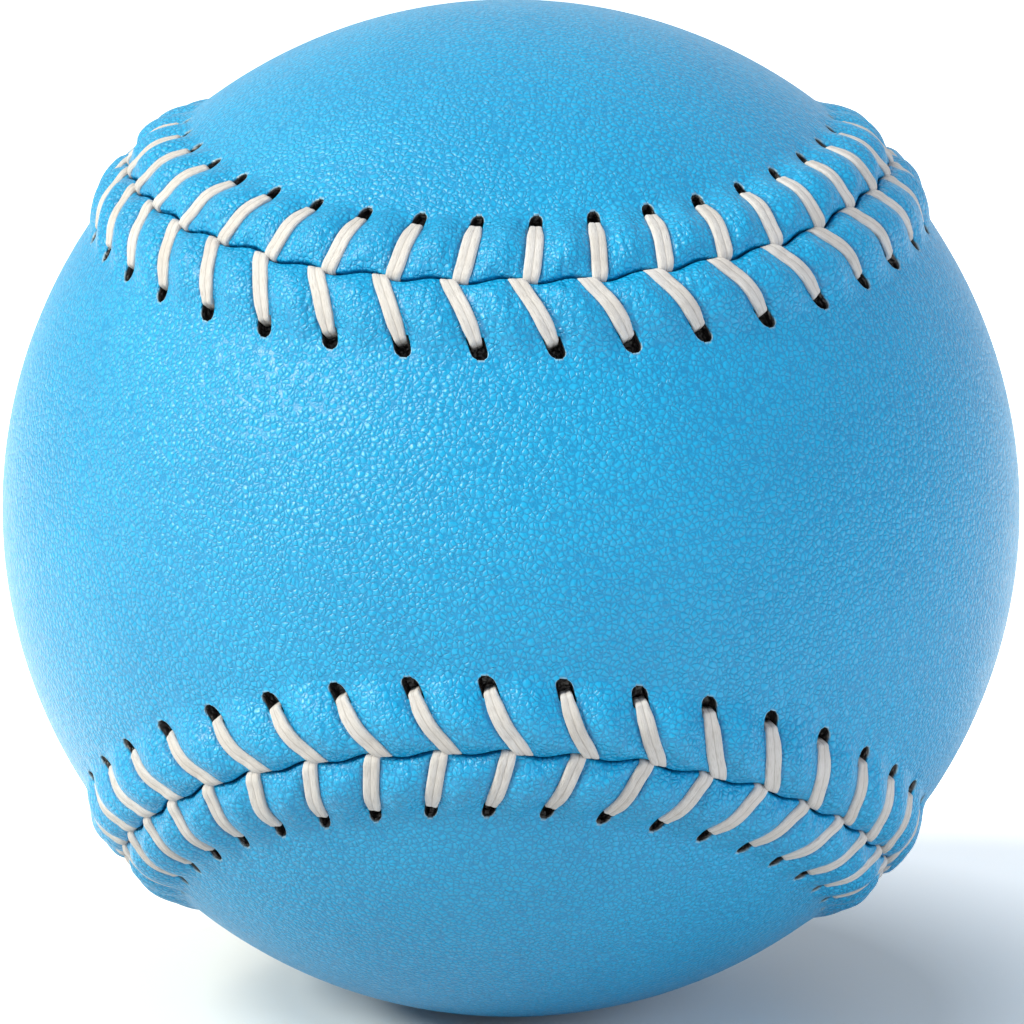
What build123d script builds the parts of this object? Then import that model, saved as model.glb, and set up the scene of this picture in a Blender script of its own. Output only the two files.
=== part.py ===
from build123d import *

import os
from math import atan2, cos, degrees, pi, radians, sin, sqrt

# A sewn leather softball: core, winding, latex coat, two figure-eight panels and two strands of thread.
# Sizes are in millimetres and angles in degrees. The ball's centre is the origin and +Z is up.

# The ball and its layers
CIRCUMFERENCE = 279.4  # round the leather, 11 inches
LEATHER = 1.6  # thickness of the cover
COAT = 0.4  # latex cement between the cover and the winding
WINDING = 6.0  # depth of the yarn round the core

# The seam, as angles at the ball's centre
WAIST_ANGLE = 49.4  # across the narrow middle of a panel, seam to seam
LOBE_ANGLE = 44.3  # from the middle of a panel's round end to its seam
LOBE_SWEEP = 117.4  # turn of the seam's bend round that end
SEAM_LEAN = 9.0  # how far the front panel's middle looks up

# The raised lips on both sides of the seam
LIP_WIDTH = 5.6  # from the seam to the foot of the lip
LIP_HEIGHT = 1.3  # crest above the ball
LIP_CREST = 2.4  # from the seam to the crest
LIP_EDGE = 0.5  # height at the seam
SEAM_GAP = 0.55  # slit between the two panels, filled by the thread where it dives
SKIVE_WIDTH = 7.4  # from the seam, the strip of the flesh side that is pared for the hidden thread
SKIVE_DEPTH = 1.15  # leather pared off there

# The sewing
STITCH_COUNT = 88  # on each panel
STITCH_START = -2.5  # first pair of stitches, past the middle of the upper seam
STITCH_LEAN = 1.75  # how far a hole lies ahead of its dive into the seam
DIVE_STEP = 1.35  # between the dives of the two sides, along the seam
HOLE_REACH = 5.6  # from the seam to the middle of a hole
HOLE_LENGTH = 2.0
HOLE_WIDTH = 1.25
HOLE_SLACK = 0.1  # between the thread and the inner end of its hole
THREAD_WIDTH = 1.15
THREAD_THICKNESS = 0.45
ARM_LIFT = 0.4  # from the lip up to the middle of the thread
ARM_BENDS = (0.68, 0.34)  # where the thread bends over the lip, as parts of its length
RUN_CLEARANCE = 0.12  # from the coat up to the lower layer of hidden thread
STRAND_GAP = 0.06  # between the two layers

BALL_RADIUS = CIRCUMFERENCE / (2 * pi)
FLESH_RADIUS = BALL_RADIUS - LEATHER
WINDING_RADIUS = FLESH_RADIUS - COAT
CORE_RADIUS = WINDING_RADIUS - WINDING
CENTRE = Vector(0, 0, 0)
FRONT_SIDE = 1
BACK_SIDE = -1

# The front panel's middle, the way across its waist and the way along it
FRONT = Vector(0, -1, 0).rotate(Axis.X, -SEAM_LEAN)
UPWARD = Vector(0, 0, 1).rotate(Axis.X, -SEAM_LEAN)
SIDE = Vector(1, 0, 0)


def turned(direction, axis, angle):
    """A direction turned about an axis through the ball's centre."""
    return direction.rotate(Axis(CENTRE, axis), angle)


def way_to(first, last):
    """Direction square to the first one, towards the last."""
    return (last - first * first.dot(last)).normalized()


def over_ball(distance, height):
    """A point in a plane through the centre, by its distance round the ball and its height above it."""
    angle = distance / BALL_RADIUS
    radius = BALL_RADIUS + height
    return radius * sin(angle), radius * cos(angle)


def flank_arc(bend, joint, meeting):
    """The arc from the end of a bend to the point where two quarters meet: its axis and angle."""
    inward = way_to(joint, bend)
    opening = atan2(1 - joint.dot(meeting), inward.dot(meeting))
    axis = joint * cos(opening) + inward * sin(opening)
    sweep = (joint - axis * cos(opening)).get_angle(meeting - axis * cos(opening))
    return axis, sweep


def quarter_arcs(face, side, ahead):
    """A quarter of the seam round one lobe, as three arcs: each an axis, a first point and an angle."""
    waist = radians(WAIST_ANGLE / 2)
    bend_angle = waist + radians(LOBE_ANGLE)
    apex = face * cos(waist) + side * sin(waist)
    bend = face * cos(bend_angle) + side * sin(bend_angle)
    hand = 1 if bend.cross(apex).dot(ahead) > 0 else -1
    first = turned(apex, bend, -hand * LOBE_SWEEP / 2)
    last = turned(apex, bend, hand * LOBE_SWEEP / 2)
    before = (side - ahead).normalized()
    after = (side + ahead).normalized()
    flank_in, sweep_in = flank_arc(bend, first, before)
    flank_out, sweep_out = flank_arc(bend, last, after)
    return [
        (flank_in * hand, before, sweep_in),
        (bend * hand, first, LOBE_SWEEP),
        (flank_out * hand, last, sweep_out),
    ]


# The whole seam, from the upper left round the upper front, the right, the lower front and the left
SEAM_ARCS = (
    quarter_arcs(FRONT, UPWARD, SIDE)
    + quarter_arcs(-FRONT, SIDE, -UPWARD)
    + quarter_arcs(FRONT, -UPWARD, -SIDE)
    + quarter_arcs(-FRONT, -SIDE, UPWARD)
)


def arc_radius(axis, start):
    return BALL_RADIUS * axis.cross(start).length


SEAM_LENGTH = sum(arc_radius(axis, start) * radians(sweep) for axis, start, sweep in SEAM_ARCS)
PITCH = SEAM_LENGTH / STITCH_COUNT
UPPER_MIDDLE = SEAM_LENGTH / 8


def seam_at(distance):
    """The direction of a point on the seam and the way the seam runs there."""
    distance = distance % SEAM_LENGTH
    for axis, start, sweep in SEAM_ARCS:
        radius = arc_radius(axis, start)
        reach = radius * radians(sweep)
        if distance <= reach:
            break
        distance -= reach
    point = turned(start, axis, degrees(distance / radius))
    return point, axis.cross(point).normalized()


def beside_seam(distance, across):
    """The direction of a point beside the seam: across is positive on the front panel."""
    point, along = seam_at(distance)
    return turned(point, along, degrees(across / BALL_RADIUS))


# The leather panels are sewn up from their faces: two skins, and along each arc of the seam
# the lip, the cut edge, the pared strip and the step at the end of that strip.


def panel_loop(across, radius):
    """Closed line that follows the seam at a distance into the front panel."""
    edges = []
    for axis, start, sweep in SEAM_ARCS:
        along = axis.cross(start).normalized()
        first = turned(start, along, degrees(across / BALL_RADIUS)) * radius
        middle = turned(first, axis, sweep / 2)
        edges.append(Edge.make_three_point_arc(first, middle, turned(first, axis, sweep)))
    return Wire(edges)


def panel_skin(across, radius):
    """Face of the front panel on a sphere, up to a line beside the seam."""
    seat = Plane(CENTRE, x_dir=FRONT, z_dir=SIDE)
    ball = Solid.make_sphere(radius, seat, -90, 90, 360)
    return ball.faces()[0].make_holes([panel_loop(across, radius)])


def panel_edge(axis, start, sweep):
    """The faces of the front panel beside one arc of the seam."""
    across = axis.cross(start).normalized().cross(start)

    def place(distance, height):
        x, y = over_ball(distance, height)
        return across * x + start * y

    pared = SKIVE_DEPTH - LEATHER
    rim = place(SEAM_GAP / 2, LIP_EDGE)
    root = place(SEAM_GAP / 2, pared)
    step = place(SKIVE_WIDTH, pared)
    lines = [
        Edge.make_three_point_arc(rim, place(LIP_CREST, LIP_HEIGHT), place(LIP_WIDTH, 0)),
        Edge.make_line(root, rim),
        Edge.make_three_point_arc(step, place(SKIVE_WIDTH / 2, pared), root),
        Edge.make_line(place(SKIVE_WIDTH, -LEATHER), step),
    ]
    return [Face.revolve(line, sweep, Axis(CENTRE, axis)) for line in lines]


def panel_blank():
    """The front panel before its holes are pierced."""
    skins = [panel_skin(LIP_WIDTH, BALL_RADIUS), panel_skin(SKIVE_WIDTH, FLESH_RADIUS)]
    edges = [face for arc in SEAM_ARCS for face in panel_edge(*arc)]
    return Solid(Shell(skins + edges))


# Each strand is a closed loop of flat thread. From a hole it goes over the lip to the seam, dives there,
# and runs hidden under the other panel to that panel's next hole. The hidden runs lie in two layers.

LIP_ARC = Edge.make_three_point_arc(
    over_ball(SEAM_GAP / 2, LIP_EDGE), over_ball(LIP_CREST, LIP_HEIGHT), over_ball(LIP_WIDTH, 0)
)


def lip_top(across):
    """Height of the lip above the ball at a distance from the seam."""
    ray = Vector(*over_ball(across, 0)).normalized()
    middle = LIP_ARC.arc_center
    reach = ray.dot(middle)
    return reach + sqrt(LIP_ARC.radius**2 - middle.dot(middle) + reach**2) - BALL_RADIUS


def run_level(side):
    """Height of the middle of the hidden thread under one panel."""
    bottom = RUN_CLEARANCE - LEATHER + THREAD_THICKNESS / 2
    return bottom if side == BACK_SIDE else bottom + THREAD_THICKNESS + STRAND_GAP


def stitch_path(number, side):
    """Stations of one stitch and of the run after it: distance along the seam, across it, and height."""
    middle = UPPER_MIDDLE + STITCH_START + number * PITCH
    hole = middle + STITCH_LEAN
    dive = middle - side * DIVE_STEP / 2
    next_hole = hole + PITCH
    leg = HOLE_REACH - HOLE_LENGTH / 2 + HOLE_SLACK + THREAD_THICKNESS / 2
    stations = [(hole, side * leg, run_level(side))]
    for part in (1, *ARM_BENDS, 0):
        stations.append((dive + part * (hole - dive), side * part * leg, lip_top(part * leg) + ARM_LIFT))
    stations.append((dive, 0, run_level(-side)))
    stations.append(((dive + next_hole) / 2, -side * leg / 2, run_level(-side)))
    return stations


def strand_path(first_side):
    """Stations of a whole strand, whose first stitch lies on the given side."""
    stations = []
    for number in range(STITCH_COUNT):
        stations += stitch_path(number, first_side if number % 2 == 0 else -first_side)
    return stations


def thread_sections(stations):
    """Four corners of the thread at each station, mitred where the thread bends."""
    ways = []
    for here, ahead in zip(stations, stations[1:] + stations[:1]):
        ways.append(Vector(here[2] - ahead[2], ahead[1] - here[1]).normalized())
    sections = []
    for (distance, across, height), before, after in zip(stations, ways[-1:] + ways[:-1], ways):
        mitre = (before + after) * (THREAD_THICKNESS / 2 / (1 + before.dot(after)))
        half = seam_at(distance)[1] * (THREAD_WIDTH / 2)
        left = beside_seam(distance, across + mitre.X) * (BALL_RADIUS + height + mitre.Y)
        right = beside_seam(distance, across - mitre.X) * (BALL_RADIUS + height - mitre.Y)
        sections.append((left - half, left + half, right + half, right - half))
    return sections


def thread_solid(first_side):
    """One strand, closed up from flat faces."""
    sections = thread_sections(strand_path(first_side))
    faces = []
    for here, ahead in zip(sections, sections[1:] + sections[:1]):
        for corner in range(4):
            last = (corner + 1) % 4
            faces.append(Face(Wire.make_polygon([here[corner], here[last], ahead[last]])))
            faces.append(Face(Wire.make_polygon([here[corner], ahead[last], ahead[corner]])))
    return Solid(Shell(faces))


def hole_profiles(side):
    """The awl holes of one panel, above its lip."""
    faces = []
    for number in range(STITCH_COUNT):
        place = UPPER_MIDDLE + STITCH_START + number * PITCH + STITCH_LEAN
        hole = beside_seam(place, side * HOLE_REACH)
        seat = Plane(hole * (BALL_RADIUS + LIP_HEIGHT), x_dir=way_to(hole, seam_at(place)[0]), z_dir=hole)
        with BuildSketch(seat) as section:
            Rectangle(HOLE_LENGTH, HOLE_WIDTH)
        faces.append(section.sketch.face())
    return faces


HOLE_DEPTH = LIP_HEIGHT + LEATHER - SKIVE_DEPTH / 2


with BuildPart() as core:
    Sphere(CORE_RADIUS)
core.part.label = "core"

with BuildPart() as yarn_winding:
    Sphere(WINDING_RADIUS)
    Sphere(CORE_RADIUS, mode=Mode.SUBTRACT)
yarn_winding.part.label = "yarn_winding"

with BuildPart() as latex_coat:
    Sphere(FLESH_RADIUS)
    Sphere(WINDING_RADIUS, mode=Mode.SUBTRACT)
latex_coat.part.label = "latex_coat"

blank = panel_blank()
with BuildPart() as front_panel:
    add(blank)
    extrude(hole_profiles(FRONT_SIDE), -HOLE_DEPTH, mode=Mode.SUBTRACT)
front_panel.part.label = "front_panel"

# The back panel is the same blank, turned half round so that its lobes close the front panel's waist
with BuildPart() as back_panel:
    add(blank.rotate(Axis(CENTRE, UPWARD + SIDE), 180))
    extrude(hole_profiles(BACK_SIDE), -HOLE_DEPTH, mode=Mode.SUBTRACT)
back_panel.part.label = "back_panel"

with BuildPart() as first_strand:
    add(thread_solid(FRONT_SIDE))
first_strand.part.label = "first_strand"

with BuildPart() as second_strand:
    add(thread_solid(BACK_SIDE))
second_strand.part.label = "second_strand"

os.makedirs("parts", exist_ok=True)
export_step(core.part, "parts/core.step")
export_step(yarn_winding.part, "parts/yarn_winding.step")
export_step(latex_coat.part, "parts/latex_coat.step")
export_step(front_panel.part, "parts/front_panel.step")
export_step(back_panel.part, "parts/back_panel.step")
export_step(first_strand.part, "parts/first_strand.step")
export_step(second_strand.part, "parts/second_strand.step")
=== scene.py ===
import math

import bpy
import numpy as np
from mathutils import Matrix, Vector
from mathutils.geometry import delaunay_2d_cdt


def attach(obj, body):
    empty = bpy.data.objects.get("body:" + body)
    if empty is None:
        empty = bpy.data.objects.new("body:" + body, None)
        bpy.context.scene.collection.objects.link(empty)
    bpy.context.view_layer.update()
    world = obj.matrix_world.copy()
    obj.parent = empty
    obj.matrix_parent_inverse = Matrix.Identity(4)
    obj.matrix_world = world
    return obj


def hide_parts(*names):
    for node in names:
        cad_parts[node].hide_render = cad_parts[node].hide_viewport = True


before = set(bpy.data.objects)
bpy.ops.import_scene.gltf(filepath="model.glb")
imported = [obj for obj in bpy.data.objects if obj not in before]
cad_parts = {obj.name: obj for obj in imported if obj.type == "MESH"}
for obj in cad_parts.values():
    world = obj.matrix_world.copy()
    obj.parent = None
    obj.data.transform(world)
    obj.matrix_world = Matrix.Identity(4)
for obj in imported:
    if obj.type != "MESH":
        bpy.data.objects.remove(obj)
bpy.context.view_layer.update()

# Sizes of the ball, in millimetres; MM turns them into metres
MM = 0.001
CIRCUMFERENCE = 279.4
RADIUS = CIRCUMFERENCE / (2 * math.pi)
WAIST = math.radians(49.4) / 2
LOBE = math.radians(44.3)
LOBE_SWEEP = math.radians(117.4)
SEAM_LEAN = math.radians(9.0)
STITCHES = 88
STITCH_NUMBERS = np.arange(STITCHES) - STITCHES // 4
STITCH_START = -2.5
DIVE_STEP = 1.1
HOLE_REACH = 5.6
FRONT_SIDE, BACK_SIDE = 1, -1

FRONT = np.array((0.0, -math.cos(SEAM_LEAN), math.sin(SEAM_LEAN)))
UPWARD = np.array((0.0, math.sin(SEAM_LEAN), math.cos(SEAM_LEAN)))
SIDE = np.array((1.0, 0.0, 0.0))


# The seam: twelve arcs on the ball, three to a lobe
def unit(v):
    return v / np.linalg.norm(v, axis=-1, keepdims=True)


def turned(points, axis, angle):
    """Points turned about an axis through the ball's centre, by one angle or one angle each."""
    c, s = np.cos(angle)[..., None], np.sin(angle)[..., None]
    return points * c + np.cross(axis, points) * s + axis * (points @ axis)[..., None] * (1 - c)


def way_to(first, last):
    return unit(last - first * (first @ last))


def flank_arc(bend, joint, meeting):
    """Axis and angle of the arc from the end of a bend to the point where two quarters meet."""
    inward = way_to(joint, bend)
    opening = math.atan2(1 - joint @ meeting, inward @ meeting)
    axis = joint * math.cos(opening) + inward * math.sin(opening)
    a, b = joint - axis * math.cos(opening), meeting - axis * math.cos(opening)
    return axis, math.acos(np.clip(unit(a) @ unit(b), -1, 1))


def quarter_arcs(face, side, ahead):
    """A quarter of the seam round one lobe: three arcs, each an axis, a first point and an angle."""
    apex = face * math.cos(WAIST) + side * math.sin(WAIST)
    bend = face * math.cos(WAIST + LOBE) + side * math.sin(WAIST + LOBE)
    hand = 1 if np.cross(bend, apex) @ ahead > 0 else -1
    first = turned(apex, bend, np.array(-hand * LOBE_SWEEP / 2))
    last = turned(apex, bend, np.array(hand * LOBE_SWEEP / 2))
    before, after = unit(side - ahead), unit(side + ahead)
    axis_in, sweep_in = flank_arc(bend, first, before)
    axis_out, sweep_out = flank_arc(bend, last, after)
    return [
        (axis_in * hand, before, sweep_in),
        (bend * hand, first, LOBE_SWEEP),
        (axis_out * hand, last, sweep_out),
    ]


SEAM_ARCS = (
    quarter_arcs(FRONT, UPWARD, SIDE)
    + quarter_arcs(-FRONT, SIDE, -UPWARD)
    + quarter_arcs(FRONT, -UPWARD, -SIDE)
    + quarter_arcs(-FRONT, -SIDE, UPWARD)
)
ARC_RADII = np.array([RADIUS * np.linalg.norm(np.cross(axis, start)) for axis, start, sweep in SEAM_ARCS])
ARC_LENGTHS = ARC_RADII * np.array([sweep for axis, start, sweep in SEAM_ARCS])
ARC_ENDS = np.cumsum(ARC_LENGTHS)
SEAM_LENGTH = ARC_ENDS[-1]
PITCH = SEAM_LENGTH / STITCHES
UPPER_MIDDLE = SEAM_LENGTH / 8
FIRST_STITCH = UPPER_MIDDLE + STITCH_START


def seam_at(distance):
    """Directions of points on the seam and the way it runs there, for an array of distances along it."""
    distance = np.mod(distance, SEAM_LENGTH)
    which = np.minimum(np.searchsorted(ARC_ENDS, distance), len(SEAM_ARCS) - 1)
    point = np.zeros(distance.shape + (3,))
    along = np.zeros(distance.shape + (3,))
    for i, (axis, start, _) in enumerate(SEAM_ARCS):
        here = which == i
        angle = (distance[here] - (ARC_ENDS[i] - ARC_LENGTHS[i])) / ARC_RADII[i]
        p = turned(np.broadcast_to(start, angle.shape + (3,)), axis, angle)
        point[here] = p
        along[here] = unit(np.cross(axis, p))
    return point, along


def beside_seam(distance, across):
    """Directions of points beside the seam; across is positive on the front panel."""
    point, along = seam_at(distance)
    angle = across / RADIUS
    return point * np.cos(angle)[..., None] + np.cross(along, point) * np.sin(angle)[..., None]


# Soft steps, bands, bells and waves
def smooth(edge0, edge1, x):
    t = np.clip((x - edge0) / (edge1 - edge0), 0, 1)
    return t * t * (3 - 2 * t)


def band(x, rise, fall):
    """0 before the rise, 1 between the rise and the fall, 0 after the fall."""
    return smooth(*rise, x) * (1 - smooth(*fall, x))


def bell(x, middle, width):
    """1 at the middle, falling away on both sides."""
    return np.exp(-(((x - middle) / width) ** 2))


WAVE_SIZES = (0.6, 1.6)


def ripple(x, y, waves, side=0):
    """Soft unevenness between about -1 and 1; waves are the rates along x and y, a seed and a count."""
    rates, seed, count = waves
    x, y = x * rates[0], y * rates[1]
    draws = np.random.default_rng(seed + side)
    total = np.zeros(np.broadcast(x, y).shape)
    for _ in range(count):
        size = draws.uniform(*WAVE_SIZES)
        heading, phase = draws.uniform(0, 2 * math.pi), draws.uniform(0, 2 * math.pi)
        total = total + np.sin(size * (math.cos(heading) * x + math.sin(heading) * y) + phase)
    return total / math.sqrt(count)


# The lie of the stitches. A stitch's own coordinate, turn, is the distance along the seam from it.
# A hole's lead is a mean, with less of it on the upper seam and more on the lower.
FRONT_LEAD, FRONT_LEAD_SPREAD = 2.07, 0.22
BACK_LEAD, BACK_LEAD_SPREAD = 1.72, 0.57
UPPER_DIVE = 0.15
FRONT_BOW = 0.45
LEAN_END = 1.2
SEAM_SWAY, SWAY_PHASE = 0.25, 0.6
SEAM_WANDER, WANDER_WAVES = 0.10, ((0.55, 0.0), 3, 6)
SWAY_FADE = (0.2, 2.6)


def lean_at(place, across, side):
    """Shift along the seam of the line that a stitch follows, at a distance from the seam."""
    upper = np.cos(2 * math.pi * (place - UPPER_MIDDLE) / SEAM_LENGTH)
    dive = -side * DIVE_STEP / 2 - UPPER_DIVE * (1 + upper)
    part = np.clip(across / HOLE_REACH, 0, LEAN_END)
    if side == FRONT_SIDE:
        lead = FRONT_LEAD - FRONT_LEAD_SPREAD * upper
        part = part + FRONT_BOW * part * (1 - part)
    else:
        lead = BACK_LEAD - BACK_LEAD_SPREAD * upper
    return dive + (lead - dive) * part


def seam_sway(along, across):
    """Wander of the joint line between the stitches, the same way on both panels."""
    sway = SEAM_SWAY * np.sin(2 * math.pi * (along - FIRST_STITCH) / PITCH + SWAY_PHASE)
    sway = sway + SEAM_WANDER * ripple(along, along, WANDER_WAVES)
    return sway * (1 - smooth(*SWAY_FADE, across))


# The leather beside the seam; a band is where something rises and falls across the seam
LIP_HEIGHT, LIP_EDGE, LIP_CREST, LIP_WIDTH = 1.3, 0.35, 2.5, 7.2
LIP_FALL_POWER = 1.1
LIP_FADE = (7.0, 9.4)
JOINT_DEPTH, JOINT_WIDTH = 0.65, 0.08
PILLOW_HEIGHT, PILLOW_SPREAD = 0.3, 0.06
PILLOW_BAND = ((0.15, 1.5), (4.6, 6.8))
PILLOW_WAVES = ((0.4, 0.0), 25, 6)
BED_DEPTH, BED_HALF = 0.12, 0.74
BED_BAND = ((0.03, 0.4), (4.9, 5.6))
CREASE_HEIGHT, CREASE_WAVES = 0.045, ((2.1, 0.75), 5, 10)
FOLD_DEPTH, FOLD_LEVEL, FOLD_WAVES = 0.05, 0.6, ((1.3, 0.5), 15, 7)
CREASE_BAND = ((0.3, 1.4), (5.5, 8.6))
PULL_DEPTH, PULL_LENGTH, PULL_WIDTH = 0.16, 1.3, 1.2
HOLE_NEAR, HOLE_FAR, HOLE_HALF, HOLE_DEPTH = 4.72, 6.4, 0.54, 1.3
HOLE_BAND = ((HOLE_NEAR - 0.07, HOLE_NEAR), (HOLE_FAR, HOLE_FAR + 0.08))
HOLE_SIDE = (HOLE_HALF, HOLE_HALF + 0.07)
OVAL_START, OVAL_LENGTH, OVAL_LEAST, OVAL_POWER = 5.55, 0.88, 0.1, 0.62
OVAL_RELEASE = (HOLE_FAR + 0.1, 7.4)
OVAL_SIDE = (0.58, 1.6)
RIM_SIDE, RIM_END, RIM_WIDTH, RIM_HEIGHT = 0.62, 6.52, 0.1, 0.05
RIM_BAND = ((5.4, 6.0), (6.35, 6.65))
RIM_END_SIDE = (0.5, 0.75)
# painted shade: a darker colour in the joint crease between the panels and along the edges of each thread
JOINT_SHADE_FADE = (0.03, 0.2)
SHADE_PLACE, SHADE_WIDTH, SHADE_STRENGTH = 0.8, 0.11, 0.85
SHADE_BAND = ((0.2, 0.6), (4.6, 5.2))


def lip(across):
    """Height of the lip's plain section above the ball, with the narrow crease at the joint."""
    rise = np.clip(1 - across / LIP_CREST, 0, 1)
    near = LIP_EDGE + (LIP_HEIGHT - LIP_EDGE) * np.sqrt(np.maximum(1 - rise**2, 0))
    near = near - JOINT_DEPTH * bell(across, 0, JOINT_WIDTH)
    fall = np.clip((across - LIP_CREST) / (LIP_WIDTH - LIP_CREST), 0, 1)
    far = LIP_HEIGHT * (0.5 + 0.5 * np.cos(math.pi * fall)) ** LIP_FALL_POWER
    return np.where(across < LIP_CREST, near, far)


def leather(place, turn, across, side):
    """Height of the leather above the ball, without the holes."""
    puff = -np.cos(2 * math.pi * turn / PITCH)
    own = 0.5 + 0.5 * ripple(place, across, PILLOW_WAVES, side)
    height = lip(across) + band(across, *PILLOW_BAND) * (PILLOW_HEIGHT + PILLOW_SPREAD * own) * puff
    thread_bed = np.exp(-((np.abs(turn) / BED_HALF) ** 6)) * band(across, *BED_BAND)
    height = height - BED_DEPTH * thread_bed
    # creases run out from the stitches over the lip and past the holes
    crease = ripple(place, across, CREASE_WAVES, side)
    fold = np.abs(ripple(place, across, FOLD_WAVES, side)) - FOLD_LEVEL
    height = height + band(across, *CREASE_BAND) * (CREASE_HEIGHT * crease - FOLD_DEPTH * fold)
    # the thread pulls the leather in at its hole
    return height - PULL_DEPTH * bell(turn, 0, PULL_LENGTH) * bell(across, HOLE_REACH, PULL_WIDTH)


def hole_mask(turn, across):
    """1 inside an awl hole, 0 on the leather round it."""
    return (1 - smooth(*HOLE_SIDE, np.abs(turn))) * band(across, *HOLE_BAND)


def hole_rim(turn, across):
    """1 on the pale rim round the outer end of a hole."""
    sides = bell(np.abs(turn), RIM_SIDE, RIM_WIDTH) * band(across, *RIM_BAND)
    end = bell(across, RIM_END, RIM_WIDTH) * (1 - smooth(*RIM_END_SIDE, np.abs(turn)))
    return np.maximum(sides, end)


def painted_shade_lines(turn, across):
    """Painted shade: 1 in the joint crease between the panels, and nearly as much beside a thread, where
    the thread shades the leather.
    """
    beside = bell(np.abs(turn), SHADE_PLACE, SHADE_WIDTH) * band(across, *SHADE_BAND)
    return np.maximum(1 - smooth(*JOINT_SHADE_FADE, across), SHADE_STRENGTH * beside)


def rounded_turn(turn, across):
    """Distances from the stitch, closed in at the outer end of its hole, so that it is rounded."""
    oval = np.sqrt(np.clip(1 - ((np.minimum(across, HOLE_FAR) - OVAL_START) / OVAL_LENGTH) ** 2, 0, 1))
    narrow = np.where(across > OVAL_START, np.maximum(oval, OVAL_LEAST) ** OVAL_POWER, 1)
    narrow = narrow + (1 - narrow) * smooth(*OVAL_RELEASE, across)
    near = 1 - smooth(*OVAL_SIDE, np.abs(turn))
    return turn * (1 - near + near * narrow)


def new_mesh(name, points, faces):
    mesh = bpy.data.meshes.new(name)
    mesh.from_pydata([tuple(p) for p in points], [], faces)
    mesh.validate()
    mesh.polygons.foreach_set("use_smooth", [True] * len(mesh.polygons))
    mesh.update()
    obj = bpy.data.objects.new(name, mesh)
    bpy.context.scene.collection.objects.link(obj)
    return obj


def point_value(obj, name, values):
    attribute = obj.data.attributes.new(name, "FLOAT", "POINT")
    attribute.data.foreach_set("value", np.asarray(values, dtype=np.float32))


# The panels: the grid's places along a stitch and across the seam, and the net beyond the grid
HALF_TURNS = np.array((0.0, 0.2, 0.38, 0.52, 0.58, 0.66, 0.75, 0.88, 1.1, 1.4, 1.8, 2.25))
TURNS = np.concatenate((-HALF_TURNS[:0:-1], HALF_TURNS, (PITCH / 2,)))
ACROSS = np.array((
    0.012, 0.035, 0.07, 0.11, 0.16, 0.23, 0.33, 0.46, 0.64, 0.88, 1.2, 1.55, 1.95, 2.4, 2.85,
    3.3, 3.7, 4.05, 4.35, 4.65, 4.72, 4.9, 5.2, 5.55, 5.8, 6.0, 6.18, 6.31, 6.4, 6.48, 6.6,
    6.85, 7.2, 7.6, 8.1, 8.7, 9.4,
))
NET_STEP, NET_ROWS, NET_MARGIN = 1.25, 0.87, 0.9
NET_LATITUDE, NET_LONGITUDE = 1.2, 3.1
SEAM_SAMPLES = 1500
INSIDE_LOOP, NET_TOLERANCE = 1, 1e-9
FAR_FROM_SEAM = 20.0


def seam_band(side):
    """Points of a panel's grid along the seam, and the values that its material reads there."""
    turn = np.tile(TURNS, STITCHES)[:, None] + 0 * ACROSS
    across = ACROSS + 0 * turn
    middle = np.repeat(FIRST_STITCH + STITCH_NUMBERS * PITCH, len(TURNS))[:, None] + 0 * ACROSS
    rounded = rounded_turn(turn, across)
    place = middle + rounded
    along = place + lean_at(middle, across, side)
    pit, rim = hole_mask(turn, across), hole_rim(turn, across)
    height = leather(place, rounded, across, side) * (1 - smooth(*LIP_FADE, across))
    height = height + RIM_HEIGHT * rim - HOLE_DEPTH * pit
    direction = beside_seam(along, side * across + seam_sway(along, across))
    values = {"pit": pit, "rim": rim, "painted_shade": painted_shade_lines(turn, across), "along": along, "across": across}
    return direction * (RADIUS + height)[..., None], values


def net_grid():
    """Longitudes and latitudes of points in even rows."""
    step = NET_STEP / RADIUS
    rows = []
    for i, latitude in enumerate(np.arange(-NET_LATITUDE, NET_LATITUDE, step * NET_ROWS)):
        gap = step / math.cos(latitude)
        row = np.arange(-NET_LONGITUDE + (i % 2) * gap / 2, NET_LONGITUDE, gap)
        rows.append(np.stack((row, np.full_like(row, latitude)), axis=-1))
    return np.concatenate(rows)


def rolled(flat, middle, third, up):
    """Directions of points given by longitude and latitude."""
    longitude, latitude = flat[:, :1], flat[:, 1:]
    level = np.cos(longitude) * middle + np.sin(longitude) * third
    return np.cos(latitude) * level + np.sin(latitude) * up


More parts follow.
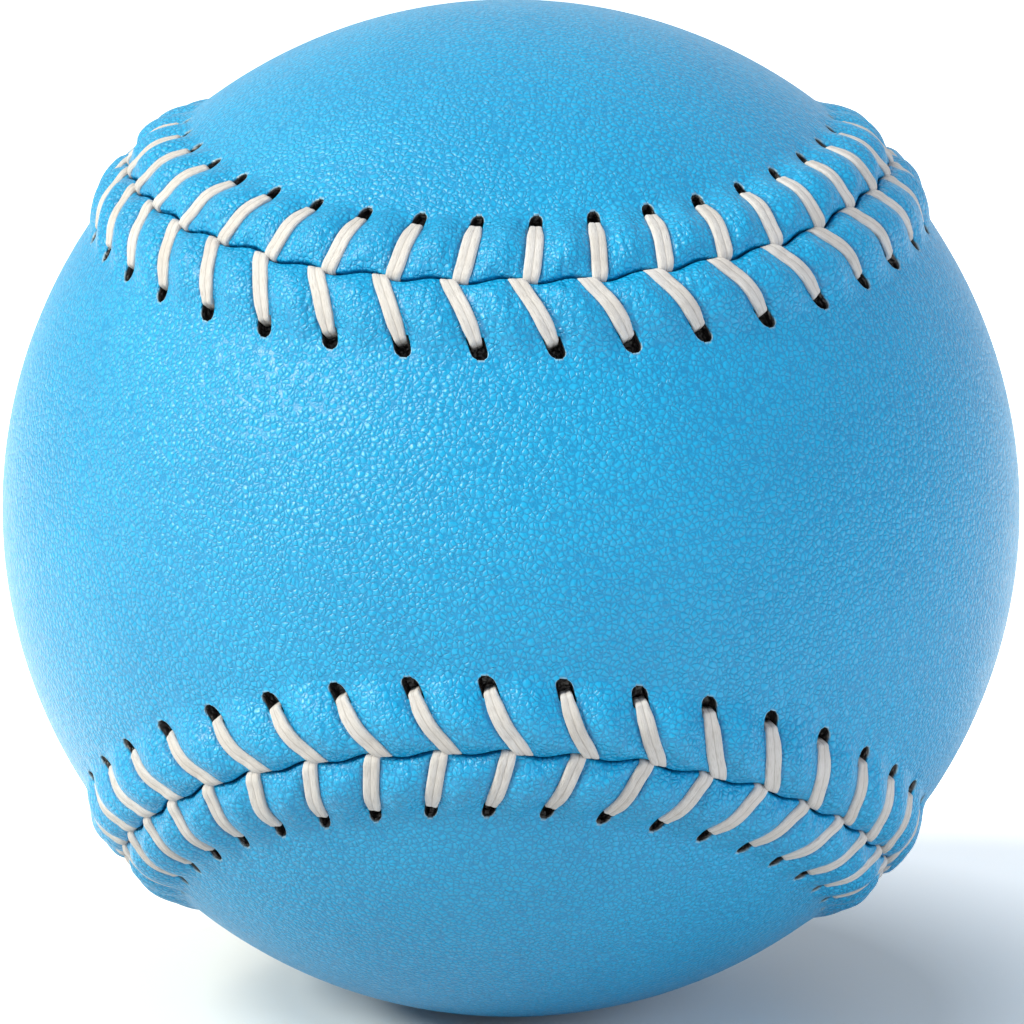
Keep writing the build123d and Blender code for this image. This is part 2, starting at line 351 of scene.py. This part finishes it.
def panel_net(edge, edge_numbers, first_free, side):
    """New points and triangles inside the grid's edge, unrolled round the axis across the waist."""
    middle, up = (FRONT, UPWARD) if side == FRONT_SIDE else (-FRONT, SIDE)
    third = np.cross(up, middle)
    longitude = np.arctan2(edge @ third, edge @ middle)
    latitude = np.arcsin(np.clip(edge @ up, -1, 1))
    # a point is kept if the nearest seam point lies far enough away; the net drops those outside the loop
    inner = net_grid()
    seam_points = seam_at(np.linspace(0, SEAM_LENGTH, SEAM_SAMPLES, endpoint=False))[0]
    nearest = np.max(rolled(inner, middle, third, up) @ seam_points.T, axis=1)
    inner = inner[np.arccos(np.clip(nearest, -1, 1)) * RADIUS > ACROSS[-1] + NET_MARGIN]
    flat = [Vector((x, y)) for x, y in np.concatenate((np.stack((longitude, latitude), axis=-1), inner))]
    loop = [(i, (i + 1) % len(edge)) for i in range(len(edge))]
    verts, _, triangles, origins, _, _ = delaunay_2d_cdt(flat, loop, [], INSIDE_LOOP, NET_TOLERANCE)
    net = rolled(np.array([(v.x, v.y) for v in verts]), middle, third, up)
    numbers, extra = [], []
    for direction, source in zip(net, origins):
        on_edge = [j for j in source if j < len(edge)]
        if on_edge:
            numbers.append(int(edge_numbers[on_edge[0]]))
        else:
            numbers.append(first_free + len(extra))
            extra.append(direction * RADIUS)
    return np.array(extra), [tuple(numbers[i] for i in triangle) for triangle in triangles]


def facing_out(points, triangles):
    """The triangles, turned over where they face the ball's centre."""
    corners = points[np.array(triangles)]
    normal = np.cross(corners[:, 1] - corners[:, 0], corners[:, 2] - corners[:, 0])
    outward = np.einsum("ij,ij->i", normal, corners.mean(axis=1)) > 0
    return [t if ok else t[::-1] for t, ok in zip(triangles, outward)]


def panel(name, side):
    """A leather panel: a fine grid along the seam and a triangle net over the rest."""
    points, values = seam_band(side)
    columns, rows = points.shape[:2]
    index = np.arange(columns * rows).reshape(columns, rows)
    ahead = np.roll(index, -1, axis=0)
    quads = np.stack((index[:, :-1], ahead[:, :-1], ahead[:, 1:], index[:, 1:]), axis=-1).reshape(-1, 4)
    if side == FRONT_SIDE:
        quads = quads[:, ::-1]
    extra, triangles = panel_net(unit(points[:, -1]), index[:, -1], columns * rows, side)
    points = np.concatenate((points.reshape(-1, 3), extra))
    obj = new_mesh(name, points * MM, quads.tolist() + facing_out(points, triangles))
    for key, value in values.items():
        rest = np.full(len(extra), FAR_FROM_SEAM if key == "across" else 0.0)
        point_value(obj, key, np.concatenate((value.reshape(-1), rest)))
    return obj


# The thread: two plies side by side, from its hole over the lip into the seam
PLY = 0.34
PLY_DIP = 0.22
THREAD_HALF_HEIGHT = 0.21
THREAD_BASE_HALF = 0.55
HALF_SECTION = (0.02, 0.07, 0.15, 0.26, 0.38, 0.5, 0.6, 0.66, 0.68)
THREAD_ACROSS = np.array((
    5.06, 5.045, 5.03, 5.01, 4.98, 4.8, 4.45, 4.0, 3.6, 3.2, 2.75, 2.3, 1.85, 1.45, 1.1,
    0.8, 0.55, 0.35, 0.2, 0.1, 0.04,
))
THREAD_DROP = np.array((
    1.1, 0.55, 0.16, 0.03, 0, 0, 0, 0, 0, 0, 0, 0, 0, 0, 0,
    0, 0, 0.02, 0.06, 0.12, 0.25,
))
THREAD_SIT = 0.95
THREAD_SEED = 1000
THREAD_SLIP, THREAD_SKEW, THREAD_WIDTHS = 0.05, 0.06, (0.93, 1.05)
SPAN_END, SPAN_HEIGHT, SPAN_RISE = 0.6, 0.2, 0.5
CUT_FADE, CUT_LEAST = (0.1, 1.3), 0.6
THREAD_SCALE = 1.07
HOLE_TAPER, HOLE_TAPER_RISE = 0.24, (3.9, 5.0)
SEAM_TAPER, SEAM_TAPER_FADE = 0.10, (0.1, 0.9)
RUN_STEP = 10


def thread_section():
    """Outline of the flat double thread: distance from its middle, and height."""
    outline = []
    for u in [-h for h in reversed(HALF_SECTION)] + list(HALF_SECTION):
        if abs(u) > PLY:
            bulge = max(1 - ((abs(u) - PLY) / PLY) ** 4, 0)
        else:
            bulge = 1 - PLY_DIP * (1 - abs(u) / PLY) ** 3
        outline.append((u, THREAD_HALF_HEIGHT * (2 * math.sqrt(bulge) - 1)))
    outline += [(THREAD_BASE_HALF, -THREAD_HALF_HEIGHT), (-THREAD_BASE_HALF, -THREAD_HALF_HEIGHT)]
    return np.array(outline)


SECTION = thread_section()


def stitch_rings(number, side):
    """Rings of points round one stitch's thread, from its hole to the seam."""
    own = np.random.default_rng(THREAD_SEED + 2 * int(number) + int(side > 0))
    slip, widen, skew = own.normal(0, THREAD_SLIP), own.uniform(*THREAD_WIDTHS), own.normal(0, THREAD_SKEW)
    part = THREAD_ACROSS / HOLE_REACH
    place = np.full_like(THREAD_ACROSS, FIRST_STITCH + number * PITCH)
    along = place + lean_at(place, THREAD_ACROSS, side) + slip * (1 - part) + skew * np.sin(math.pi * part)
    # the thread lies on the leather, and spans the groove at the seam
    bed = leather(place, 0 * place, THREAD_ACROSS, side)
    bed = np.maximum(bed, np.where(THREAD_ACROSS < SPAN_END, SPAN_HEIGHT + SPAN_RISE * THREAD_ACROSS, bed))
    height = bed + THREAD_HALF_HEIGHT * THREAD_SIT - THREAD_DROP
    offset = side * THREAD_ACROSS + seam_sway(along, THREAD_ACROSS)
    middle_line = beside_seam(along, offset) * (RADIUS + height)[:, None]
    ahead = unit(np.gradient(middle_line, axis=0))
    wide = unit(np.cross(ahead, unit(middle_line)))
    up = unit(np.cross(wide, ahead))
    # the end in the seam is cut off along the joint line, not square to the thread
    joint = seam_at(along)[1]
    joint = joint * np.sign(np.einsum("ij,ij->i", joint, wide))[:, None]
    joint = joint / np.maximum(np.einsum("ij,ij->i", joint, wide), CUT_LEAST)[:, None]
    wide = wide + (joint - wide) * (1 - smooth(*CUT_FADE, THREAD_ACROSS))[:, None]
    taper = THREAD_SCALE - HOLE_TAPER * smooth(*HOLE_TAPER_RISE, THREAD_ACROSS)
    taper = widen * (taper - SEAM_TAPER * (1 - smooth(*SEAM_TAPER_FADE, THREAD_ACROSS)))
    return (
        middle_line[:, None]
        + wide[:, None] * (SECTION[None, :, :1] * taper[:, None, None])
        + up[:, None] * SECTION[None, :, 1:]
    )


def strand(name, first_side):
    """One needle's thread: a short length for each stitch, on the two panels by turns."""
    points, faces, ply, run = [], [], [], []
    for number in STITCH_NUMBERS:
        rings = stitch_rings(number, first_side if number % 2 == 0 else -first_side)
        stations, around = rings.shape[:2]
        index = len(points) + np.arange(stations * around).reshape(stations, around)
        points.extend(rings.reshape(-1, 3))
        ply.extend(np.tile(SECTION[:, 0] / PLY, stations))
        run.extend(np.repeat(THREAD_ACROSS + RUN_STEP * number, around))
        beside = np.roll(index, -1, axis=1)
        quads = np.stack((index[:-1], beside[:-1], beside[1:], index[1:]), axis=-1).reshape(-1, 4)
        faces.extend(quads.tolist())
        faces.append(index[0, ::-1].tolist())
        faces.append(index[-1].tolist())
    obj = new_mesh(name, np.array(points) * MM, faces)
    point_value(obj, "ply", ply)
    point_value(obj, "run", run)
    return obj


front = panel("front_leather", FRONT_SIDE)
back = panel("back_leather", BACK_SIDE)
first = strand("first_thread", FRONT_SIDE)
second = strand("second_thread", BACK_SIDE)
for piece, node, slot in (
    (front, "front_panel", "leather"), (back, "back_panel", "leather"),
    (first, "first_strand", "thread"), (second, "second_strand", "thread"),
):
    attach(piece, "root")
    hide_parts(node)


# Materials
def srgb(*rgb):
    """A colour given in steps of 255, as the shaders take it."""
    shares = [c / 255 for c in rgb]
    return tuple(c / 12.92 if c < 0.04045 else ((c + 0.055) / 1.055) ** 2.4 for c in shares) + (1,)


LEATHER_BLUE, LEATHER_PALER = srgb(4, 146, 198), srgb(12, 154, 206)
# the grain lines take the first blue; the second is painted shade for the seam's joint and beside the
# threads
GRAIN_BLUE, PAINTED_SHADE_BLUE = srgb(2, 80, 138), srgb(5, 56, 112)
# the black of the holes is the latex coat at their floor, and painted shade on their leather walls
RIM_GREY, PIT_BLACK = srgb(176, 190, 192), srgb(30, 26, 26)
BLOTCH_SCALE, SPECK_SCALE, GRAIN_SCALE, GRAIN_WARP = 70.0, 1300.0, 2150.0, 0.00052
GRAIN_LINE, GRAIN_DOME, LINE_DEPTH, LINE_COLOUR = 0.2, 0.8, 0.25, 0.45
PEBBLE_RELIEF, WRINKLE_RELIEF, LEATHER_BUMP = 0.75, 3.6, 0.00011
WRINKLE_STRETCH, WRINKLE_SCALE, WRINKLE_FAR, WRINKLE_NEAR = 0.3, 1.5, 8.0, 2.0
LEATHER_SPECULAR, LEATHER_ROUGHNESS = 0.4, (-1.0, 3.1)

THREAD_WHITE, THREAD_STAIN = srgb(201, 198, 199), srgb(191, 186, 184)
# the second grey is painted shade for the dip between the two plies
FIBRE_GREY, PLY_SHADE_GREY = srgb(150, 143, 139), srgb(142, 135, 131)
FIBRE_ACROSS, FIBRE_ALONG, FIBRE_SCALE, STAIN_SCALE = 5.0, 0.8, 1.6, 260.0
PLY_SHADE_AMOUNT = 0.8
THREAD_ROUGHNESS, THREAD_SPECULAR, THREAD_BUMP, THREAD_BUMP_STRENGTH = 0.65, 0.3, 0.0001, 0.8
INNER_SHADE = 0.75


class Nodes:
    """Short hand for building one material's nodes."""

    def __init__(self, name):
        self.material = bpy.data.materials.new(name)
        self.material.use_nodes = True
        self.tree = self.material.node_tree
        self.shader = self.tree.nodes["Principled BSDF"]

    def add(self, kind, **sockets):
        node = self.tree.nodes.new(kind)
        for key, value in sockets.items():
            self.put(node, key, value)
        return node

    def put(self, node, key, value):
        socket = node.inputs[key]
        if isinstance(value, bpy.types.NodeSocket):
            self.tree.links.new(value, socket)
        else:
            socket.default_value = value

    def ramp(self, value, low, high, kind="LINEAR"):
        node = self.add("ShaderNodeMapRange", Value=value)
        node.interpolation_type = kind
        self.put(node, "From Min", low)
        self.put(node, "From Max", high)
        return node.outputs["Result"]

    def mix(self, factor, one, two):
        node = self.tree.nodes.new("ShaderNodeMix")
        node.data_type = "RGBA"
        # the sockets of a colour mix: 0 is the factor, 6 and 7 are the colours
        for place, value in ((0, factor), (6, one), (7, two)):
            self.put(node, place, value)
        return node.outputs[2]

    def sum_up(self, operation, *values):
        node = self.tree.nodes.new("ShaderNodeMath")
        node.operation = operation
        for place, value in enumerate(values):
            self.put(node, place, value)
        return node.outputs[0]

    def times(self, one, two):
        return self.sum_up("MULTIPLY", one, two)

    def plus(self, one, two):
        return self.sum_up("ADD", one, two)

    def value(self, name):
        node = self.tree.nodes.new("ShaderNodeAttribute")
        node.attribute_name = name
        return node.outputs["Fac"]

    def place(self):
        return self.tree.nodes.new("ShaderNodeTexCoord").outputs["Object"]

    def flat_place(self, x, y):
        node = self.add("ShaderNodeCombineXYZ", X=x, Y=y)
        return node.outputs[0]

    def bump(self, height, strength, distance, invert=False):
        node = self.add("ShaderNodeBump", Height=height, Strength=strength, Distance=distance)
        node.invert = invert
        self.put(self.shader, "Normal", node.outputs["Normal"])


def leather_material():
    m = Nodes("sky_blue_leather")
    place = m.place()
    blotch = m.add("ShaderNodeTexNoise", Vector=place, Scale=BLOTCH_SCALE, Detail=2.0)
    speck = m.add("ShaderNodeTexNoise", Vector=place, Scale=SPECK_SCALE, Detail=2.0)
    warp = m.add("ShaderNodeVectorMath")
    warp.operation = "MULTIPLY_ADD"
    for i, value in enumerate((speck.outputs["Color"], (GRAIN_WARP, GRAIN_WARP, GRAIN_WARP), place)):
        m.put(warp, i, value)
    cells = m.add("ShaderNodeTexVoronoi", Vector=warp.outputs[0], Scale=GRAIN_SCALE)
    edges = m.add("ShaderNodeTexVoronoi", Vector=warp.outputs[0], Scale=GRAIN_SCALE)
    edges.feature = "DISTANCE_TO_EDGE"
    line = m.ramp(edges.outputs["Distance"], GRAIN_LINE, 0.0, "SMOOTHSTEP")
    dome = m.ramp(cells.outputs["Distance"], GRAIN_DOME, 0.0, "SMOOTHSTEP")
    pebble = m.plus(dome, m.times(line, -LINE_DEPTH))
    # wrinkles run out from the seam; they fade away from it
    across = m.value("across")
    lie = m.flat_place(m.value("along"), m.times(across, WRINKLE_STRETCH))
    wrinkle = m.add("ShaderNodeTexNoise", Vector=lie, Scale=WRINKLE_SCALE, Detail=3.0)
    wrinkle = m.times(wrinkle.outputs["Fac"], m.ramp(across, WRINKLE_FAR, WRINKLE_NEAR))
    relief = m.plus(m.times(pebble, PEBBLE_RELIEF), m.times(wrinkle, WRINKLE_RELIEF))
    colour = m.mix(m.ramp(blotch.outputs["Fac"], 0.3, 0.7), LEATHER_BLUE, LEATHER_PALER)
    colour = m.mix(m.times(line, LINE_COLOUR), colour, GRAIN_BLUE)
    # painted shade: the joint crease and the leather beside each thread are darkened
    colour = m.mix(m.ramp(m.value("painted_shade"), 0.0, 1.3), colour, PAINTED_SHADE_BLUE)
    colour = m.mix(m.ramp(m.value("rim"), 0.35, 1.3), colour, RIM_GREY)
    # the holes are coloured black: the latex coat at their floor, and painted shade on their leather walls
    colour = m.mix(m.ramp(m.value("pit"), 0.03, 0.14), colour, PIT_BLACK)
    m.put(m.shader, "Base Color", colour)
    m.put(m.shader, "Roughness", m.ramp(speck.outputs["Fac"], *LEATHER_ROUGHNESS))
    m.put(m.shader, "Specular IOR Level", LEATHER_SPECULAR)
    m.bump(relief, 1.0, LEATHER_BUMP)
    return m.material


def thread_material():
    m = Nodes("waxed_thread")
    ply = m.value("ply")
    lie = m.flat_place(m.times(ply, FIBRE_ACROSS), m.times(m.value("run"), FIBRE_ALONG))
    fibre = m.add("ShaderNodeTexNoise", Vector=lie, Scale=FIBRE_SCALE, Detail=3.0).outputs["Fac"]
    stain = m.add("ShaderNodeTexNoise", Vector=m.place(), Scale=STAIN_SCALE, Detail=2.0).outputs["Fac"]
    colour = m.mix(m.ramp(stain, 0.35, 0.7), THREAD_WHITE, THREAD_STAIN)
    colour = m.mix(m.ramp(fibre, 0.5, 0.85), colour, FIBRE_GREY)
    # painted shade in the dip between the two plies
    between = m.ramp(m.sum_up("ABSOLUTE", ply), 0.2, -0.1)
    colour = m.mix(m.times(between, PLY_SHADE_AMOUNT), colour, PLY_SHADE_GREY)
    m.put(m.shader, "Base Color", colour)
    m.put(m.shader, "Roughness", THREAD_ROUGHNESS)
    m.put(m.shader, "Specular IOR Level", THREAD_SPECULAR)
    m.bump(fibre, THREAD_BUMP_STRENGTH, THREAD_BUMP, invert=True)
    return m.material


def plain_material(name, colour, roughness, scale):
    m = Nodes(name)
    spread = m.add("ShaderNodeTexNoise", Vector=m.place(), Scale=scale, Detail=3.0)
    dark = tuple(INNER_SHADE * c for c in colour[:3]) + (1,)
    m.put(m.shader, "Base Color", m.mix(spread.outputs["Fac"], dark, colour))
    m.put(m.shader, "Roughness", roughness)
    return m.material


def dress(obj, material):
    obj.data.materials.clear()
    obj.data.materials.append(material)


hide, cotton = leather_material(), thread_material()
for piece, material in ((front, hide), (back, hide), (first, cotton), (second, cotton)):
    dress(piece, material)
for node, name, colour, roughness, scale in (
    ("core", "foam", srgb(228, 220, 200), 0.9, 300.0),
    ("yarn_winding", "yarn", srgb(214, 210, 202), 0.95, 700.0),
    ("latex_coat", "latex", srgb(46, 40, 36), 0.5, 200.0),
):
    dress(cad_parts[node], plain_material(name, colour, roughness, scale))

# Floor, light and camera, in metres
BALL = RADIUS * MM
FLOOR_HALF, FLOOR_GAP = 4, 0.0002
FLOOR_PAINT = (0.7, 0.7, 0.7, 1)
FLOOR_NEAR, FLOOR_FAR, FLOOR_DEPTHS = 1.35, 1.7, (0.1, 1.3)
# painted shadow: how much darker the floor is seen beside the ball, and where that fades out
PAINTED_SHADOW_SHADE, PAINTED_SHADOW_FADE, PAINTED_SHADOW_EDGE = 0.63, 0.7, (0.038, 0.066)
WORLD_COLOUR, WORLD_STRENGTH = (0.92, 0.96, 1.0, 1), 0.42
VIEW_AZIMUTH, VIEW_ELEVATION = math.radians(2.7), math.radians(10.1)
VIEW_DISTANCE = 10 * BALL
SENSOR, LENS = 36.0, 178.0
CLIP_START, CLIP_END = 0.01, 20.0
SHIFT_X, SHIFT_Y = 1.0 / 1024, -4.0 / 1024


def background_rays(tree):
    """1 for the rays that see the white background: the camera's, mirrored ones and those through glass."""
    light_path = tree.nodes.new("ShaderNodeLightPath")
    total = light_path.outputs["Is Camera Ray"]
    for name in ("Is Glossy Ray", "Is Transmission Ray"):
        either = tree.nodes.new("ShaderNodeMath")
        either.operation = "MAXIMUM"
        tree.links.new(total, either.inputs[0])
        tree.links.new(light_path.outputs[name], either.inputs[1])
        total = either.outputs[0]
    return total


def floor_material():
    """Pale paint; as seen, it carries a painted shadow, darker beside the ball, and turns white further
    off.
    """
    m = Nodes("white_floor")
    m.tree.nodes.remove(m.shader)
    paint = m.add("ShaderNodeBsdfDiffuse", Color=FLOOR_PAINT)
    depth = m.add("ShaderNodeSeparateXYZ", Vector=m.place())
    shade = m.add("ShaderNodeMapRange", Value=depth.outputs["Y"])
    keys = ("From Min", "From Max", "To Min", "To Max")
    for key, value in zip(keys, (*FLOOR_DEPTHS, FLOOR_NEAR, FLOOR_FAR)):
        m.put(shade, key, value)
    reach = m.add("ShaderNodeVectorMath")
    reach.operation = "LENGTH"
    m.put(reach, 0, m.place())
    # painted shadow round the ball, fading out with distance from it
    beyond = m.ramp(reach.outputs["Value"], *PAINTED_SHADOW_EDGE)
    seen = m.times(shade.outputs["Result"], m.plus(m.times(beyond, PAINTED_SHADOW_FADE), PAINTED_SHADOW_SHADE))
    seen_paint = m.add("ShaderNodeBsdfDiffuse", Color=seen)
    choose = m.add("ShaderNodeMixShader")
    for i, value in enumerate((background_rays(m.tree), paint.outputs[0], seen_paint.outputs[0])):
        m.put(choose, i, value)
    m.put(m.tree.nodes["Material Output"], "Surface", choose.outputs[0])
    return m.material


def area_light(name, place, size, power, colour, mirrored=True):
    data = bpy.data.lights.new(name, "AREA")
    data.shape = "DISK"
    data.size, data.energy, data.color = size, power, colour
    obj = bpy.data.objects.new(name, data)
    obj.location = place
    obj.rotation_euler = (-Vector(place)).to_track_quat("-Z", "Y").to_euler()
    obj.visible_glossy = mirrored
    bpy.context.scene.collection.objects.link(obj)


def studio_world():
    """Soft light from all round; the rays of background_rays see plain white."""
    world = bpy.data.worlds.new("studio")
    world.use_nodes = True
    tree = world.node_tree
    soft = tree.nodes["Background"]
    white = tree.nodes.new("ShaderNodeBackground")
    for node, colour, strength in ((soft, WORLD_COLOUR, WORLD_STRENGTH), (white, (1, 1, 1, 1), 1.0)):
        node.inputs["Color"].default_value = colour
        node.inputs["Strength"].default_value = strength
    switch = tree.nodes.new("ShaderNodeMixShader")
    for i, source in enumerate((background_rays(tree), soft.outputs[0], white.outputs[0])):
        tree.links.new(source, switch.inputs[i])
    tree.links.new(switch.outputs[0], tree.nodes["World Output"].inputs["Surface"])
    return world


def photo_camera():
    data = bpy.data.cameras.new("camera")
    data.sensor_width, data.lens = SENSOR, LENS
    data.clip_start, data.clip_end = CLIP_START, CLIP_END
    data.shift_x, data.shift_y = SHIFT_X, SHIFT_Y
    camera = bpy.data.objects.new("camera", data)
    bpy.context.scene.collection.objects.link(camera)
    outward = Vector((
        math.sin(VIEW_AZIMUTH) * math.cos(VIEW_ELEVATION),
        -math.cos(VIEW_AZIMUTH) * math.cos(VIEW_ELEVATION),
        math.sin(VIEW_ELEVATION),
    ))
    camera.location = outward * VIEW_DISTANCE
    camera.rotation_euler = (-outward).to_track_quat("-Z", "Y").to_euler()
    return camera


floor_mesh = bpy.data.meshes.new("floor")
floor_corners = [(x * FLOOR_HALF, y * FLOOR_HALF, 0) for x, y in ((-1, -1), (1, -1), (1, 1), (-1, 1))]
floor_mesh.from_pydata(floor_corners, [], [(0, 1, 2, 3)])
floor = bpy.data.objects.new("floor", floor_mesh)
floor.location = (0, 0, -BALL - FLOOR_GAP)
bpy.context.scene.collection.objects.link(floor)
dress(floor, floor_material())

area_light("key", place=(-0.72, -0.45, 0.98), size=0.45, power=9.5, colour=(1.0, 0.975, 0.84))
area_light("left_softbox", place=(-1.0, -0.55, 0.66), size=0.36, power=16.5, colour=(1.0, 0.98, 0.84))
area_light("fill", place=(1.0, -0.55, 0.3), size=0.9, power=8.0, colour=(0.9, 0.96, 1.0), mirrored=False)

scene = bpy.context.scene
scene.world = studio_world()
scene.camera = photo_camera()
scene.view_settings.view_transform = "Standard"
